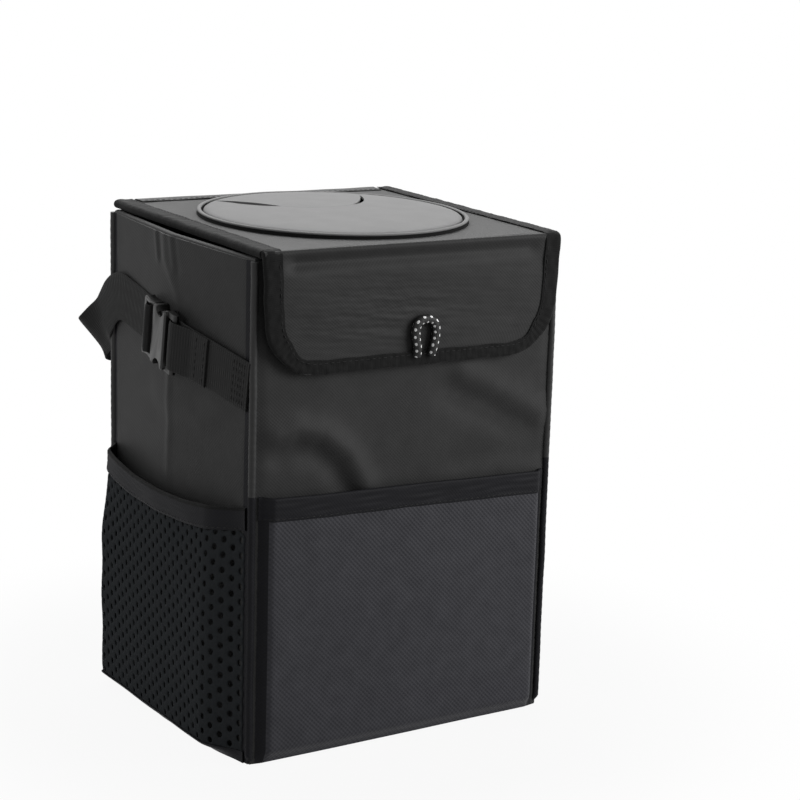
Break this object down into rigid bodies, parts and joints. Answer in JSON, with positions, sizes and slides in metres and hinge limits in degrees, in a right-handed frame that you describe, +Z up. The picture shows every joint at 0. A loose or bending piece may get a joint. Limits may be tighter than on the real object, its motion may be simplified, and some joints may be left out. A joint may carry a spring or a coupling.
{
  "type": "car trash bin",
  "caption": "Soft folding car bin with board-stiffened cloth walls, a hinged lid with a slit drop disc, a front flap, outer pockets and a buckled strap.",
  "frame": {"origin": "middle of the underside of the base, on the surface that the bin stands on", "axes": "+Z up, the front with the flap and the flat pocket faces -Y, the buckle is on the -X side"},
  "size_m": [0.2032, 0.1961, 0.2631],
  "materials": {
    "body_cloth": "plain-woven coated polyester",
    "stiffener_board": "flat polyethylene board",
    "liner_film": "welded leakproof film",
    "edge_tape": "folded woven tape, stitched",
    "corner_piping": "smooth vinyl bead",
    "pocket_cloth": "coarse ballistic weave",
    "side_mesh": "knitted spacer mesh",
    "hook_and_loop": "hook and loop tape",
    "webbing": "ribbed polypropylene webbing",
    "buckle_plastic": "moulded acetal",
    "disc_rubber": "grained satin membrane",
    "pull_cord": "braided cord with pale reflective flecks"
  },
  "bodies": {
    "shell": {"base_panel": "body_cloth", "front_panel": "body_cloth", "back_panel": "body_cloth", "left_panel": "body_cloth", "right_panel": "body_cloth", "base_board": "stiffener_board", "front_board": "stiffener_board", "back_board": "stiffener_board", "left_front_board": "stiffener_board", "left_rear_board": "stiffener_board", "right_front_board": "stiffener_board", "right_rear_board": "stiffener_board", "liner": "liner_film", "rim_tape": "edge_tape", "front_pocket_hem": "edge_tape", "left_mesh_hem": "edge_tape", "right_mesh_hem": "edge_tape", "hinge_tape": "edge_tape", "front_left_piping": "corner_piping", "front_right_piping": "corner_piping", "rear_left_piping": "corner_piping", "rear_right_piping": "corner_piping", "front_pocket": "pocket_cloth", "left_mesh_pocket": "side_mesh", "right_mesh_pocket": "side_mesh", "front_loop_patch": "hook_and_loop", "short_strap": "webbing", "long_strap": "webbing", "buckle_socket": "buckle_plastic"},
    "lid": {"lid_panel": "body_cloth", "lid_board": "stiffener_board", "lid_lining": "liner_film", "lid_left_binding": "edge_tape", "lid_right_binding": "edge_tape", "drop_disc": "disc_rubber", "disc_welt": "disc_rubber"},
    "flap": {"flap_panel": "body_cloth", "flap_lining": "liner_film", "flap_binding": "edge_tape", "flap_hook_patch": "hook_and_loop", "pull_loop": "pull_cord"},
    "plug": {"buckle_plug": "buckle_plastic", "strap_end": "webbing"}
  },
  "joints": [
    {"name": "lid_hinge", "type": "hinge", "parent": "shell", "child": "lid", "pos_m": [0, 0.07817, 0.25506], "axis": [-1, 0, 0], "range_deg": [0, 180]},
    {"name": "flap_fold", "type": "hinge", "parent": "lid", "child": "flap", "pos_m": [0, -0.0807, 0.2559], "axis": [-1, 0, 0], "range_deg": [0, 170]},
    {"name": "plug_release", "type": "slide", "parent": "shell", "child": "plug", "axis": [0.0518, 0.9849, 0.165], "range_m": [0, 0.017], "deforming": ["buckle_plug"]}
  ]
}
